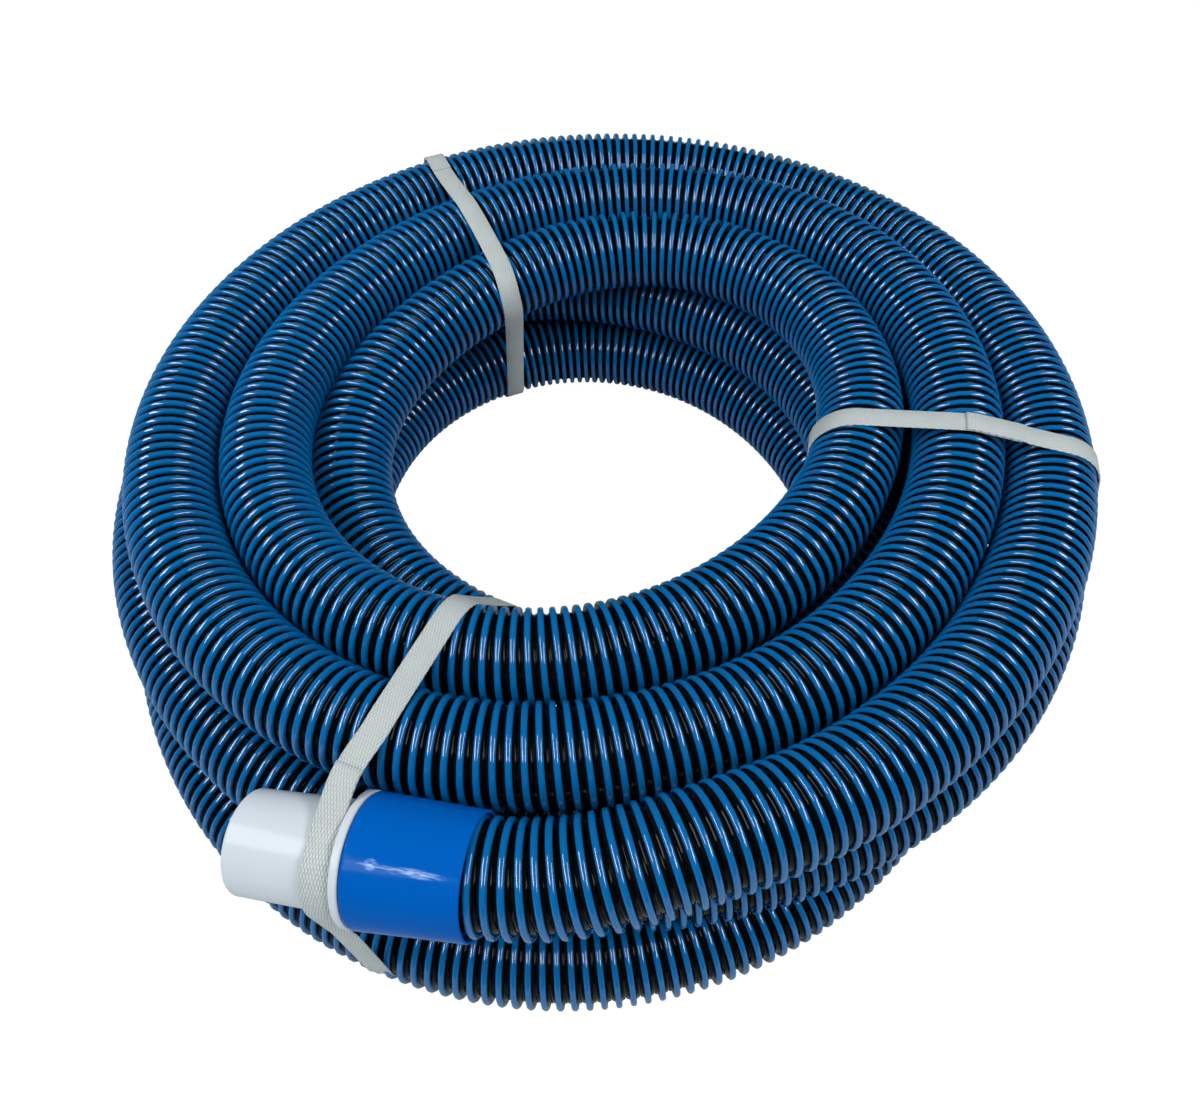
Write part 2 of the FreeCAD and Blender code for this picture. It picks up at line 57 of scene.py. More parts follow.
# %% Camera
camera_data = bpy.data.cameras.new("camera")
camera_data.lens = 28.162
camera_data.sensor_width = 36.0
camera_data.sensor_fit = "HORIZONTAL"
camera_data.clip_start = 0.01
camera = bpy.data.objects.new("camera", camera_data)
camera.location = (0.00516, -0.36623, 0.48577)
camera.rotation_euler = (math.radians(36.286), 0.0, math.radians(0.451))
scene.collection.objects.link(camera)
scene.camera = camera
print("camera at", [round(v, 3) for v in camera.location], "lens", camera_data.lens, "mm")

# %% [markdown]
# ## Route of the hose
# A wound hose is a long spiral, so its line is worked out, not drawn: in on top, down between the
# layers, out in the middle, down again and in at the bottom. Each layer is a slightly oval spiral
# about its own centre, because a hand-wound coil is never quite round. The same rule, with the
# same sizes, made the solid hose.

# %% Route rule
HOSE_OD = 0.046
HOSE_R = HOSE_OD / 2
LAYER_GAP = 0.0009
STRAP_THICKNESS = 0.0008
STRAP_CLEARANCE = 0.0003
COIL_SHIFT = Vector((-0.0017, 0.0070, 0.0))
LAYERS = {
    "top": dict(level=2, inner=0.1413, gap=0.0021, centre=(-0.0017, 0.0050), oval=0.0105, lean=46, growth=-0.0015),
    "middle": dict(level=1, inner=0.1482, gap=0.0054, centre=(-0.0094, 0.0012), oval=0.0057, lean=-18, growth=0.0),
    "bottom": dict(level=0, inner=0.1416, gap=0.0010, centre=(-0.0095, -0.0190), oval=0.0092, lean=-84, growth=0.0),
}
WINDING_START, TOP_END, MIDDLE_START, MIDDLE_END, BOTTOM_START, BOTTOM_END = -100, 780, 1018, 1780, 1925, 2790
# Sizes are in metres, and the angles at which they act are degrees along the winding.
START_LIFT, TOP_DIP, CROSSING_RISE = 0.0072, 0.0046, 0.0060
UP = Vector((0, 0, 1))


def flat_direction(angle):
    turn = math.radians(angle)
    return Vector((math.cos(turn), math.sin(turn), 0))


def ease(share):
    share = min(max(share, 0.0), 1.0)
    return share * share * (3 - 2 * share)


def swell(angle, middle, reach):
    """1 at one place of the winding, easing to 0 over a reach in degrees on both sides of it."""
    return ease(1 - abs(angle - middle) / reach)


def spiral_point(name, angle, turns_from_inner):
    """A point of one layer's oval spiral."""
    layer = LAYERS[name]
    radius = layer["inner"] + turns_from_inner * (HOSE_OD + layer["gap"])
    oval = layer["oval"] + turns_from_inner * layer["growth"]
    radius += oval * math.cos(2 * math.radians(angle - layer["lean"]))
    height = STRAP_CLEARANCE + STRAP_THICKNESS + HOSE_R + layer["level"] * (HOSE_OD + LAYER_GAP)
    return Vector((*layer["centre"], 0)) + flat_direction(angle) * radius + UP * height


def route_point(angle):
    """The hose's centre line at an angle along the winding, 0 towards +X."""
    top = spiral_point("top", angle, (TOP_END - angle) / 360)
    middle = spiral_point("middle", angle, (angle - MIDDLE_START) / 360)
    bottom = spiral_point("bottom", angle, (BOTTOM_END - angle) / 360)
    point = top.lerp(middle, ease((angle - TOP_END) / (MIDDLE_START - TOP_END)))
    point = point.lerp(bottom, ease((angle - MIDDLE_END) / (BOTTOM_START - MIDDLE_END)))
    point.z += START_LIFT * (1 - ease((angle - WINDING_START) / 120))
    point.z -= TOP_DIP * swell(angle, 45, 90)
    point.z += CROSSING_RISE * swell(angle, 405, 90)
    return point + COIL_SHIFT


print("winding starts at", [round(v, 4) for v in route_point(WINDING_START)])

# %% Ends of the route
CUFF_HEADING, cuff_tilt = -10, math.radians(6.5)
cuff_line = flat_direction(CUFF_HEADING) * math.cos(cuff_tilt) + UP * math.sin(cuff_tilt)
CUFF_OFFSET = Vector((0.0068, -0.0051, -0.0041))
cuff_lip = route_point(WINDING_START) + CUFF_OFFSET
HOSE_GRIP = 0.0308
hose_start = cuff_lip - cuff_line * HOSE_GRIP

TAIL_ANGLE, TAIL_TURN = 2742, 18
TAIL_PULL, TAIL_RISE = 0.0150, 0.0021


def tail_point(angle, share):
    """The winding near its inner end, where the hose pulls away from it into the hole."""
    return route_point(angle) - flat_direction(angle) * (TAIL_PULL * share) + UP * (TAIL_RISE * share)


tail_bend_end = tail_point(TAIL_ANGLE, 1)
tail_line = flat_direction(TAIL_ANGLE + 90 + TAIL_TURN)
print("hose leaves the sleeve at", [round(v, 4) for v in cuff_lip])

# %% [markdown]
# ## The hose's line as a smooth spline
# A NURBS spline turns a list of control points into one smooth line without corners. The winding
# gets a control point every few degrees, and each straight end gets a few of its own. The order
# and the end points are set last, because Blender only accepts them once the points are there.
#
# A real hose also gives a little where it is pressed. It arches as it leaves the sleeve, and the
# top turn rides up and bulges outwards where it crosses the turns below. These bends of a few
# millimetres are added to the winding rule here.

# %% Control points
TURN_STEP, FIRST_TURN_ANGLE, LAST_TURN_ANGLE = 7.5, -97.5, 2700
ARCH_RISE, ARCH_OUT, RIDE_UP, BULGE_OUT = 0.0045, 0.0018, 0.0045, 0.0028


def pressed_point(angle):
    """A point of the winding, with the bends that the hose gets where it is pressed."""
    outward = flat_direction(angle)
    from_cuff = CUFF_OFFSET * (1 - ease((angle + 99) / 24))
    arch = ease((angle - WINDING_START) / 20) * (1 - ease((angle + 80) / 50))
    bend = (UP * ARCH_RISE + outward * ARCH_OUT) * arch
    ride_up = UP * (RIDE_UP * swell(angle, 350, 70))
    bulge = outward * (BULGE_OUT * swell(angle, 322, 58))
    return route_point(angle) + from_cuff + bend + ride_up + bulge


route_points = [hose_start + cuff_line * reach for reach in (0.0, 0.009, 0.018)]
angle = FIRST_TURN_ANGLE
while angle <= LAST_TURN_ANGLE:
    route_points.append(pressed_point(angle))
    angle += TURN_STEP / 2 if angle < -60 else TURN_STEP
for angle in (2710, 2721, 2732):
    route_points.append(tail_point(angle, ease((angle - LAST_TURN_ANGLE) / (TAIL_ANGLE - LAST_TURN_ANGLE))))
route_points += [tail_bend_end + tail_line * reach for reach in (0.0, 0.015, 0.031, 0.046)]
print(len(route_points), "control points")

# %% Hose line
def pushed_out(points):
    """The spline cuts its control points' corners, so each point moves out by what it would cut."""
    threes = zip(points, points[1:], points[2:])
    inner = [point - (before - point * 2 + after) / 8 for before, point, after in threes]
    return [points[0], *inner, points[-1]]


def nurbs_curve(name, points):
    data = bpy.data.curves.new(name, "CURVE")
    data.dimensions = "3D"
    data.resolution_u = 4
    spline = data.splines.new("NURBS")
    spline.points.add(len(points) - 1)
    for control, place in zip(spline.points, points):
        control.co = (*place, 1.0)
    spline.order_u = 3
    spline.use_endpoint_u = True
    curve = bpy.data.objects.new(name, data)
    scene.collection.objects.link(curve)
    return curve


def line_points(curve):
    """Points along a curve that has no bevel yet, read from its evaluated mesh."""
    evaluated = curve.evaluated_get(bpy.context.evaluated_depsgraph_get())
    mesh = bpy.data.meshes.new_from_object(evaluated)
    points = np.array([vertex.co[:] for vertex in mesh.vertices])
    bpy.data.meshes.remove(mesh)
    return points


hose_web = nurbs_curve("hose_web", pushed_out(route_points))
hose_line = line_points(hose_web)
steps = np.linalg.norm(np.diff(hose_line, axis=0), axis=1)
hose_length = float(steps.sum())
travelled = np.concatenate([[0.0], np.cumsum(steps)])
print(f"hose line: {len(hose_line)} points, {hose_length:.3f} m")

# %% [markdown]
# ## Web of the hose
# Between its ribs the hose is a thin black tube. It is only seen as a dark, glossy valley, so the
# route's own curve with a round bevel is enough, and the ribs stand on it.

# %% Web tube
WEB_R = 0.0195
hose_web.data.bevel_depth = WEB_R
hose_web.data.bevel_resolution = 5
hose_web.data.use_fill_caps = True
print("web radius", WEB_R * 1000, "mm")

# %% [markdown]
# ## Ribs
# The stiffness of such a hose comes from one long rib of hard plastic that winds round it like a
# screw thread, here with a pitch of 6.1 mm and about 1600 turns. Nobody models that by hand: a
# Geometry Nodes tree turns the hose's line into a helix round it and sweeps the rib's section along
# the helix. The section is drawn once as a small curve: a wide foot, a straight stem and a round
# cap. Its height and its place across are kept as attributes, so that the material can make the
# stem black and the cap blue with a sharp border, a little lower on one flank than on the other.

# %% Rib section
RIB_PITCH = 0.0061
RIB_HALF_WIDTH = 0.00145
RIB_BASE_R = 0.0198
CREST_R = 0.0233
CAP_HEIGHT = 0.00110
STEM_HEIGHT = CREST_R - RIB_BASE_R - CAP_HEIGHT
FOOT = [(RIB_PITCH / 2, 0.0), (0.0020, 0.00030), (0.00135, 0.00110)]
CAP_TURNS = (-12, 28, 68, 112, 152, 192)


def section_curve(name, points):
    """A small open curve from (across, rise) points, with its rise along X as the sweep wants it."""
    data = bpy.data.curves.new(name, "CURVE")
    data.dimensions = "3D"
    spline = data.splines.new("POLY")
    spline.points.add(len(points) - 1)
    for control, (across, rise) in zip(spline.points, points):
        control.co = (rise, across, 0.0, 1.0)
    curve = bpy.data.objects.new(name, data)
    scene.collection.objects.link(curve)
    return curve


cap = [(RIB_HALF_WIDTH * math.cos(turn), STEM_HEIGHT + CAP_HEIGHT * math.sin(turn))
       for turn in map(math.radians, CAP_TURNS)]
far_foot = [(-across, rise) for across, rise in reversed(FOOT)]
rib_section = section_curve("rib_section", FOOT + cap + far_foot)
print(f"rib stands {(CREST_R - WEB_R) * 1000:.1f} mm above the web")

# %% Node helpers
def new_tree(name, sockets):
    """An empty Geometry Nodes tree with named inputs: (name, socket type, default)."""
    tree = bpy.data.node_groups.new(name, "GeometryNodeTree")
    tree.interface.new_socket("Geometry", in_out="OUTPUT", socket_type="NodeSocketGeometry")
    tree.interface.new_socket("Geometry", in_out="INPUT", socket_type="NodeSocketGeometry")
    for label, kind, default in sockets:
        socket = tree.interface.new_socket(label, in_out="INPUT", socket_type=kind)
        if default is not None:
            socket.default_value = default
    return tree


def add_node(tree, kind, **settings):
    node = tree.nodes.new(kind)
    for key, value in settings.items():
        setattr(node, key, value)
    return node


def maths(tree, operation, *inputs):
    """A Math node fed by sockets or numbers; gives its output socket."""
    node = add_node(tree, "ShaderNodeMath", operation=operation)
    for socket, value in zip(node.inputs, inputs):
        if isinstance(value, bpy.types.NodeSocket):
            tree.links.new(value, socket)
        else:
            socket.default_value = value
    return node.outputs[0]


def vector_maths(tree, operation, first, second=None, scale=None):
    """A Vector Math node fed by sockets; gives its vector."""
    node = add_node(tree, "ShaderNodeVectorMath", operation=operation)
    tree.links.new(first, node.inputs[0])
    if second is not None:
        tree.links.new(second, node.inputs[1])
    if scale is not None:
        tree.links.new(scale, node.inputs["Scale"])
    return node.outputs["Vector"]


# %% Rib tree
def rib_tree():
    """Cuts a stretch of the line, winds it into a helix and sweeps the section along that."""
    tree = new_tree("helical rib", [
        ("Start", "NodeSocketFloat", 0.0), ("End", "NodeSocketFloat", 1.0), ("Pitch", "NodeSocketFloat", RIB_PITCH),
        ("Segments", "NodeSocketInt", 28), ("Base Radius", "NodeSocketFloat", RIB_BASE_R),
        ("Section", "NodeSocketObject", None), ("Material", "NodeSocketMaterial", None)])
    link = tree.links.new
    given = add_node(tree, "NodeGroupInput").outputs
    line = add_node(tree, "GeometryNodeMeshToCurve")
    link(given["Geometry"], line.inputs["Mesh"])
    smooth = add_node(tree, "GeometryNodeCurveSplineType", spline_type="CATMULL_ROM")
    link(line.outputs["Curve"], smooth.inputs["Curve"])
    stretch = add_node(tree, "GeometryNodeTrimCurve", mode="LENGTH")
    link(smooth.outputs["Curve"], stretch.inputs["Curve"])
    # Trim Curve has two sockets named Start and two named End. Numbers 4 and 5 are for lengths.
    link(given["Start"], stretch.inputs[4])
    link(given["End"], stretch.inputs[5])
    turns = maths(tree, "DIVIDE", maths(tree, "SUBTRACT", given["End"], given["Start"]), given["Pitch"])
    count = maths(tree, "ADD", maths(tree, "ROUND", maths(tree, "MULTIPLY", turns, given["Segments"])), 1.0)
    fine = add_node(tree, "GeometryNodeResampleCurve", mode="COUNT")
    link(stretch.outputs["Curve"], fine.inputs["Curve"])
    link(count, fine.inputs["Count"])
    level = add_node(tree, "GeometryNodeSetCurveNormal", mode="Z_UP")
    link(fine.outputs["Curve"], level.inputs["Curve"])
    keep = add_node(tree, "GeometryNodeCaptureAttribute")
    keep.capture_items.new("VECTOR", "Side")
    keep.capture_items.new("VECTOR", "Ahead")
    link(level.outputs["Curve"], keep.inputs["Geometry"])
    link(add_node(tree, "GeometryNodeInputNormal").outputs["Normal"], keep.inputs["Side"])
    link(add_node(tree, "GeometryNodeInputTangent").outputs["Tangent"], keep.inputs["Ahead"])
    side, ahead = keep.outputs["Side"], keep.outputs["Ahead"]
    index = add_node(tree, "GeometryNodeInputIndex").outputs["Index"]
    turn = maths(tree, "MULTIPLY", maths(tree, "DIVIDE", index, given["Segments"]), 2 * math.pi)
    outward = vector_maths(tree, "ADD", vector_maths(tree, "SCALE", side, scale=maths(tree, "COSINE", turn)),
                           vector_maths(tree, "SCALE", vector_maths(tree, "CROSS_PRODUCT", ahead, side),
                                        scale=maths(tree, "SINE", turn)))
    helix = add_node(tree, "GeometryNodeSetPosition")
    link(keep.outputs["Geometry"], helix.inputs["Geometry"])
    link(vector_maths(tree, "SCALE", outward, scale=given["Base Radius"]), helix.inputs["Offset"])
    facing = add_node(tree, "GeometryNodeSetCurveNormal", mode="FREE")
    link(helix.outputs["Geometry"], facing.inputs["Curve"])
    link(outward, facing.inputs["Normal"])
    section = add_node(tree, "GeometryNodeObjectInfo")
    link(given["Section"], section.inputs["Object"])
    place = add_node(tree, "ShaderNodeSeparateXYZ")
    link(add_node(tree, "GeometryNodeInputPosition").outputs["Position"], place.inputs[0])
    marked = section.outputs["Geometry"]
    for label, value in (("rise", place.outputs["X"]), ("across", place.outputs["Y"])):
        keep_value = add_node(tree, "GeometryNodeStoreNamedAttribute", data_type="FLOAT", domain="POINT")
        keep_value.inputs["Name"].default_value = label
        link(value, keep_value.inputs["Value"])
        link(marked, keep_value.inputs["Geometry"])
        marked = keep_value.outputs["Geometry"]
    sweep = add_node(tree, "GeometryNodeCurveToMesh")
    link(facing.outputs["Curve"], sweep.inputs["Curve"])
    link(marked, sweep.inputs["Profile Curve"])
    shade = add_node(tree, "GeometryNodeSetShadeSmooth")
    link(sweep.outputs["Mesh"], shade.inputs["Geometry"])
    real = add_node(tree, "GeometryNodeRealizeInstances")
    link(shade.outputs["Geometry"], real.inputs["Geometry"])
    finish = add_node(tree, "GeometryNodeSetMaterial")
    link(real.outputs["Geometry"], finish.inputs["Geometry"])
    link(given["Material"], finish.inputs["Material"])
    link(finish.outputs["Geometry"], add_node(tree, "NodeGroupOutput").inputs["Geometry"])
    return tree


helical_rib = rib_tree()
print("rib tree:", len(helical_rib.nodes), "nodes")

# %% [markdown]
# ## Finishes of the hose
# Hose and cuffs are glossy moulded plastic. One shader node group gives them all the same small
# unevenness: a slow change of tone, fine dust that dulls the gloss a little, and a faint ripple in
# the surface. Each material places the group with its own values.

# %% Shader helpers
def new_material(name):
    material = bpy.data.materials.new(name)
    material.use_nodes = True
    tree = material.node_tree
    return material, tree, tree.nodes["Principled BSDF"]


def mix_colour(tree, factor, first, second):
    """A Mix node fed by sockets or values; its sockets 6 and 7 and its output 2 are for colours."""
    node = add_node(tree, "ShaderNodeMix", data_type="RGBA")
    for socket, value in ((node.inputs[0], factor), (node.inputs[6], first), (node.inputs[7], second)):
        if isinstance(value, bpy.types.NodeSocket):
            tree.links.new(value, socket)
        else:
            socket.default_value = value
    return node.outputs[2]


def ramp(tree, factor, *stops):
    """A Color Ramp of grey stops (position, value)."""
    node = add_node(tree, "ShaderNodeValToRGB")
    elements = node.color_ramp.elements
    while len(elements) < len(stops):
        elements.new(0.5)
    for element, (position, value) in zip(elements, stops):
        element.position = position
        element.color = (value, value, value, 1.0)
    tree.links.new(factor, node.inputs[0])
    return node.outputs["Color"]


def shader_group(name, inputs, outputs):
    """A shader node group with named sockets; gives the group, its inputs and its outputs."""
    group = bpy.data.node_groups.new(name, "ShaderNodeTree")
    for label, kind, default in inputs:
        socket = group.interface.new_socket(label, in_out="INPUT", socket_type=kind)
        socket.default_value = default
    for label, kind in outputs:
        group.interface.new_socket(label, in_out="OUTPUT", socket_type=kind)
    return group, add_node(group, "NodeGroupInput").outputs, add_node(group, "NodeGroupOutput").inputs


def use_group(tree, group, **values):
    """Place a group in a material with its own values; an underscore stands for a space."""
    node = add_node(tree, "ShaderNodeGroup", node_tree=group)
    for label, value in values.items():
        socket = node.inputs[label.replace("_", " ")]
        if isinstance(value, bpy.types.NodeSocket):
            tree.links.new(value, socket)
        else:
            socket.default_value = value
    return node.outputs


# %% Moulded plastic group
moulded, given, result = shader_group("moulded plastic", [
    ("Colour", "NodeSocketColor", (0.5, 0.5, 0.5, 1)), ("Tone Change", "NodeSocketFloat", 0.08),
    ("Roughness", "NodeSocketFloat", 0.2), ("Dust", "NodeSocketFloat", 0.1),
    ("Grain Size", "NodeSocketFloat", 900.0),
], [("Colour", "NodeSocketColor"), ("Roughness", "NodeSocketFloat"), ("Height", "NodeSocketFloat")])
coordinates = add_node(moulded, "ShaderNodeTexCoord").outputs["Object"]
slow = add_node(moulded, "ShaderNodeTexNoise")
slow.inputs["Scale"].default_value = 30.0
slow.inputs["Detail"].default_value = 3.0
moulded.links.new(coordinates, slow.inputs["Vector"])
grain = add_node(moulded, "ShaderNodeTexNoise")
moulded.links.new(coordinates, grain.inputs["Vector"])
moulded.links.new(given["Grain Size"], grain.inputs["Scale"])
shift = maths(moulded, "MULTIPLY", maths(moulded, "SUBTRACT", slow.outputs["Fac"], 0.5), given["Tone Change"])
tone = add_node(moulded, "ShaderNodeHueSaturation")
moulded.links.new(given["Colour"], tone.inputs["Color"])
moulded.links.new(maths(moulded, "ADD", maths(moulded, "MULTIPLY", shift, 2.0), 1.0), tone.inputs["Value"])
moulded.links.new(tone.outputs["Color"], result["Colour"])
dull = maths(moulded, "MULTIPLY", ramp(moulded, grain.outputs["Fac"], (0.45, 0.0), (0.75, 1.0)), given["Dust"])
moulded.links.new(maths(moulded, "ADD", given["Roughness"], dull), result["Roughness"])
fine_height = maths(moulded, "MULTIPLY", grain.outputs["Fac"], 0.1)
moulded.links.new(maths(moulded, "ADD", slow.outputs["Fac"], fine_height), result["Height"])
print("moulded plastic group:", len(moulded.nodes), "nodes")

# %% Plastic materials
def add_bump(tree, height, shader, distance):
    bump = add_node(tree, "ShaderNodeBump")
    bump.inputs["Distance"].default_value = distance
    tree.links.new(height, bump.inputs["Height"])
    tree.links.new(bump.outputs["Normal"], shader.inputs["Normal"])


def plastic(name, colour, roughness, tone_change=0.08, dust=0.1, grain_size=900.0, ripple=0.0002,
            specular=0.5):
    """A moulded plastic of one colour."""
    material, tree, shader = new_material(name)
    out = use_group(tree, moulded, Colour=(*colour, 1), Tone_Change=tone_change, Roughness=roughness, Dust=dust,
                    Grain_Size=grain_size)
    tree.links.new(out["Colour"], shader.inputs["Base Color"])
    tree.links.new(out["Roughness"], shader.inputs["Roughness"])
    shader.inputs["Specular IOR Level"].default_value = specular
    add_bump(tree, out["Height"], shader, ripple)
    return material


# %% Hose materials
hose_web.data.materials.append(plastic("black hose web", (0.0035, 0.0045, 0.0035), 0.07, dust=0.05, specular=0.35))

STEM_BLACK, CAP_BLUE = (0.003, 0.0045, 0.005, 1), (0.0005, 0.114, 0.340, 1)
BLUE_STARTS, BLUE_FULL = 0.52, 0.58
BLUE_LEAN = 0.10
STEM_GLOSS, CAP_GLOSS = 0.10, 0.90


def rib_plastic():
    """Blue cap on a black stem. The blue comes lower on the flank that faces on along the hose."""
    material, tree, shader = new_material("blue capped rib")
    height = add_node(tree, "ShaderNodeAttribute", attribute_name="rise").outputs["Fac"]
    share = maths(tree, "DIVIDE", height, CREST_R - RIB_BASE_R)
    across = add_node(tree, "ShaderNodeAttribute", attribute_name="across").outputs["Fac"]
    # The sweep turns the section so that a positive place across faces back to the cuff.
    ahead = maths(tree, "DIVIDE", across, -RIB_HALF_WIDTH)
    leaning = maths(tree, "MULTIPLY_ADD", ahead, BLUE_LEAN, share)
    capped = ramp(tree, leaning, (BLUE_STARTS, 0.0), (BLUE_FULL, 1.0))
    colour = mix_colour(tree, capped, STEM_BLACK, CAP_BLUE)
    out = use_group(tree, moulded, Colour=colour, Tone_Change=0.10, Roughness=0.08, Dust=0.04, Grain_Size=700.0)
    tree.links.new(out["Colour"], shader.inputs["Base Color"])
    tree.links.new(out["Roughness"], shader.inputs["Roughness"])
    gloss = maths(tree, "MULTIPLY_ADD", capped, CAP_GLOSS - STEM_GLOSS, STEM_GLOSS)
    tree.links.new(gloss, shader.inputs["Specular IOR Level"])
    return material


rib_material = rib_plastic()
print("hose materials:", hose_web.data.materials[0].name, "and", rib_material.name)

# %% [markdown]
# ## Making the ribs
# One mesh of the whole rib would be heavy, so it is cut into stretches that each hold a whole
# number of turns and meet exactly. The tree is run on the hose's line for each stretch, and its
# result is kept as a plain mesh.

# %% Rib stretches
def polyline_object(name, points):
    mesh = bpy.data.meshes.new(name)
    mesh.from_pydata([tuple(point) for point in points], [(i, i + 1) for i in range(len(points) - 1)], [])
    thing = bpy.data.objects.new(name, mesh)
    scene.collection.objects.link(thing)
    return thing


def run_tree(thing, tree, values):
    """Run a Geometry Nodes tree on an object, keep the result as its mesh and drop the modifier."""
    modifier = thing.modifiers.new(tree.name, "NODES")
    modifier.node_group = tree
    sockets = (item for item in tree.interface.items_tree if item.in_out == "INPUT")
    identifiers = {item.name: item.identifier for item in sockets}
    for label, value in values.items():
        modifier[identifiers[label]] = value
    evaluated = thing.evaluated_get(bpy.context.evaluated_depsgraph_get())
    mesh = bpy.data.meshes.new_from_object(evaluated)
    thing.modifiers.clear()
    thing.data = mesh
    return thing


RIB_IN_SLEEVE, FIXED_GRIP = 0.0050, 0.038
RIB_START = HOSE_GRIP - RIB_IN_SLEEVE
rib_turns = int((hose_length - FIXED_GRIP - RIB_START) / RIB_PITCH)
STRETCHES = 6
ribs = []
for number in range(STRETCHES):
    first = rib_turns * number // STRETCHES
    last = rib_turns * (number + 1) // STRETCHES
    ribs.append(run_tree(polyline_object(f"hose_rib_{number + 1}", hose_line), helical_rib, {
        "Start": RIB_START + first * RIB_PITCH, "End": RIB_START + last * RIB_PITCH,
        "Section": rib_section, "Material": rib_material}))
bpy.data.objects.remove(rib_section)
print(f"{rib_turns} turns of rib in {len(ribs)} stretches, {sum(len(r.data.polygons) for r in ribs)} faces")

# %% [markdown]
# ## Straps
# Three flat tapes hold the coil. Each is pulled tight round the bundle, so seen in its own upright
# plane it is the outline of a rubber band round the hose's sections: arcs over the outer turns and
# straight spans between them. The farthest section in each direction gives that outline. The tape
# then lies along it, laps over its own beginning and is welded there. It was pulled by hand, so it
# strays a few millimetres from its plane, and each stray is a sideways slide that fades in.

# %% Strap paths
STRAP_WIDTH = 0.012
BUNDLE_CENTRE = Vector((*LAYERS["top"]["centre"], 0.0)) + COIL_SHIFT
SLEEVE_LENGTH, SWIVEL_GAP, FLANGE_THICKNESS = 0.0465, 0.0003, 0.0036
NOZZLE_LENGTH, NOZZLE_R = 0.0480, 0.0223
flange_front = cuff_lip - cuff_line * (SLEEVE_LENGTH + SWIVEL_GAP + FLANGE_THICKNESS)


def strap_sections(base, outward, across):
    """Discs (distance outward, height, radius) of the turns that a strap's plane cuts."""
    discs = []

    def add_disc(point, line, radius):
        facing = abs(line.dot(across))
        slant = math.sqrt(max(0.0, 1 - facing * facing)) / facing
        spread = radius / facing - radius + STRAP_WIDTH / 2 * slant
        for side in (-spread, spread):
            discs.append(((point - base).dot(outward) + side, point.z, radius + STRAP_CLEARANCE))

    offsets = (hose_line - np.array(base)) @ np.array(across)
    for i in np.nonzero(offsets[:-1] * offsets[1:] <= 0)[0]:
        before, after = Vector(hose_line[i]), Vector(hose_line[i + 1])
        point = before.lerp(after, offsets[i] / (offsets[i] - offsets[i + 1]))
        if (point - base).dot(outward) > 0:
            add_disc(point, (after - before).normalized(), HOSE_R)
    before_flange = (flange_front - base).dot(across) / cuff_line.dot(across)
    if 0 < before_flange < NOZZLE_LENGTH:
        add_disc(flange_front - cuff_line * before_flange, cuff_line, NOZZLE_R)
    return np.array(discs)


def strap_outline(discs, spacing=0.002):
    """The taut outline round the discs as evenly spaced (outward, height) points, and its length."""
    turns = np.radians(np.arange(0, 360, 0.5))
    normals = np.stack([np.cos(turns), np.sin(turns)], axis=1)
    reach = normals @ discs[:, :2].T + discs[:, 2]
    chosen = discs[reach.argmax(axis=1)]
    points = chosen[:, :2] + normals * chosen[:, 2:]
    closed = np.vstack([points, points[:1]])
    lengths = np.concatenate([[0.0], np.cumsum(np.linalg.norm(np.diff(closed, axis=0), axis=1))])
    places = np.linspace(0, lengths[-1], int(lengths[-1] / spacing), endpoint=False)
    return np.stack([np.interp(places, lengths, closed[:, k]) for k in (0, 1)], axis=1), lengths[-1]


print("flange front at", [round(v, 4) for v in flange_front])

# %% Tape along a path
SOFT_EDGE = 0.00022


def tape(name, places, widths, outs, run):
    """A flat tape along a path, with the corners of its section cut so that its edges are soft."""
    half, thick, soft = STRAP_WIDTH / 2, STRAP_THICKNESS, SOFT_EDGE
    section = [(-half, soft), (-half + soft, 0), (0, 0), (half - soft, 0), (half, soft), (half, thick - soft),
               (half - soft, thick), (0, thick), (-half + soft, thick), (-half, thick - soft)]
    sides = len(section)
    vertices = []
    for place, width, out in zip(places, widths, outs):
        vertices += [tuple(place + width * a + out * b) for a, b in section]
    faces = []
    for i in range(len(places) - 1):
        for j in range(sides):
            k = (j + 1) % sides
            faces.append((i * sides + j, i * sides + k, (i + 1) * sides + k, (i + 1) * sides + j))
    faces.append(tuple(reversed(range(sides))))
    faces.append(tuple((len(places) - 1) * sides + j for j in range(sides)))
    mesh = bpy.data.meshes.new(name)
    mesh.from_pydata(vertices, [], faces)
    weave = mesh.uv_layers.new(name="weave")
    for loop in mesh.loops:
        row, corner = divmod(loop.vertex_index, sides)
        weave.data[loop.index].uv = (run[row], section[corner][0])
    mesh.update()
    thing = bpy.data.objects.new(name, mesh)
    scene.collection.objects.link(thing)
    thing.data.shade_smooth()
    return thing


# %% Strays of the straps
def fade(values, start, full):
    """0 up to start, 1 from full on, and a straight line between them."""
    return np.clip((values - start) / (full - start), 0, 1)


# A strap's reach is measured from the middle of the bundle and its height from the table.
BUNDLE_TOP = 0.12
CROWN_AT, CROWN_SPREAD, CROWN_LOWEST = 0.215, 0.045, 0.07
FLANGE_CLEARANCE = 0.0004
FOOT_OUT, FOOT_BACK = 0.0036, 0.0050
INNER_OUT, INNER_BACK = 0.0016, 0.0010


def stray(reach, height, crown_slide, drop_slide):
    """How far a strap slides sideways over the crown of the bundle and where it drops into the hole."""
    crown = np.exp(-((reach - CROWN_AT) / CROWN_SPREAD) ** 2) * (height > CROWN_LOWEST)
    drop = fade(height, BUNDLE_TOP, 0) * fade(reach, 0.20, 0.14)
    return crown_slide * crown + drop_slide * drop


